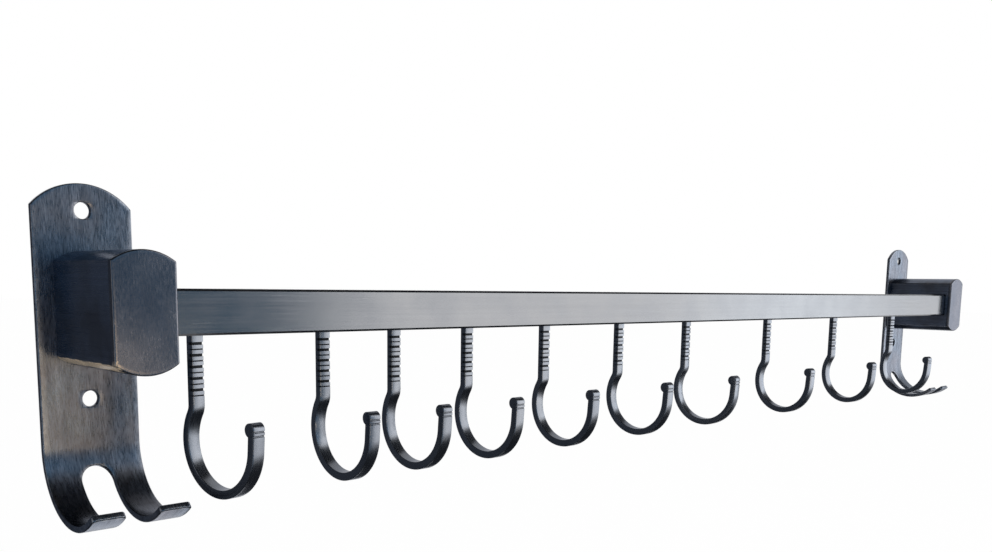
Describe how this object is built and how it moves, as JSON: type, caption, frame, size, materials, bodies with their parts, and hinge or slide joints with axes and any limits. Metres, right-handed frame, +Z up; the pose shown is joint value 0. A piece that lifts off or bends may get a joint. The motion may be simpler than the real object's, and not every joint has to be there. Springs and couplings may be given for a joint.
{
  "type": "kitchen wall rack",
  "caption": "Dark brushed aluminium wall rail on stand-off brackets with forked lower ends, carrying sliding utensil hooks with ribbed necks.",
  "frame": {"origin": "middle of the four wall-screw holes, on the wall", "axes": "+X along the rail to the right as seen from the room, +Y into the wall, +Z up"},
  "size_m": [0.6, 0.0623, 0.101],
  "materials": {
    "plate_metal": "brushed, dark anodised",
    "box_metal": "satin, dark anodised",
    "cap_metal": "satin, dark anodised",
    "rail_metal": "brushed, dark anodised",
    "hook_metal": "satin, dark anodised",
    "screw_steel": "zinc plated"
  },
  "bodies": {
    "rack": {"wall_plate_left": "plate_metal", "wall_plate_right": "plate_metal", "standoff_box_left": "box_metal", "standoff_box_right": "box_metal", "front_cap_left": "cap_metal", "front_cap_right": "cap_metal", "box_screws_left": "screw_steel", "box_screws_right": "screw_steel", "rail": "rail_metal"},
    "hook_01": {"hook_01": "hook_metal"},
    "hook_02": {"hook_02": "hook_metal"},
    "hook_03": {"hook_03": "hook_metal"},
    "hook_04": {"hook_04": "hook_metal"},
    "hook_05": {"hook_05": "hook_metal"},
    "hook_06": {"hook_06": "hook_metal"},
    "hook_07": {"hook_07": "hook_metal"},
    "hook_08": {"hook_08": "hook_metal"},
    "hook_09": {"hook_09": "hook_metal"},
    "hook_10": {"hook_10": "hook_metal"}
  },
  "joints": [
    {"name": "hook_01_slide", "type": "slide", "parent": "rack", "child": "hook_01", "axis": [1, 0, 0], "range_m": [-0.0063, 0.018]},
    {"name": "hook_02_slide", "type": "slide", "parent": "rack", "child": "hook_02", "axis": [1, 0, 0], "range_m": [-0.018, 0.0125]},
    {"name": "hook_03_slide", "type": "slide", "parent": "rack", "child": "hook_03", "axis": [1, 0, 0], "range_m": [-0.0125, 0.0148]},
    {"name": "hook_04_slide", "type": "slide", "parent": "rack", "child": "hook_04", "axis": [1, 0, 0], "range_m": [-0.0148, 0.0186]},
    {"name": "hook_05_slide", "type": "slide", "parent": "rack", "child": "hook_05", "axis": [1, 0, 0], "range_m": [-0.0186, 0.0216]},
    {"name": "hook_06_slide", "type": "slide", "parent": "rack", "child": "hook_06", "axis": [1, 0, 0], "range_m": [-0.0216, 0.0225]},
    {"name": "hook_07_slide", "type": "slide", "parent": "rack", "child": "hook_07", "axis": [1, 0, 0], "range_m": [-0.0225, 0.0326]},
    {"name": "hook_08_slide", "type": "slide", "parent": "rack", "child": "hook_08", "axis": [1, 0, 0], "range_m": [-0.0326, 0.0319]},
    {"name": "hook_09_slide", "type": "slide", "parent": "rack", "child": "hook_09", "axis": [1, 0, 0], "range_m": [-0.0319, 0.0332]},
    {"name": "hook_10_slide", "type": "slide", "parent": "rack", "child": "hook_10", "axis": [1, 0, 0], "range_m": [-0.0332, 0.0659]}
  ]
}
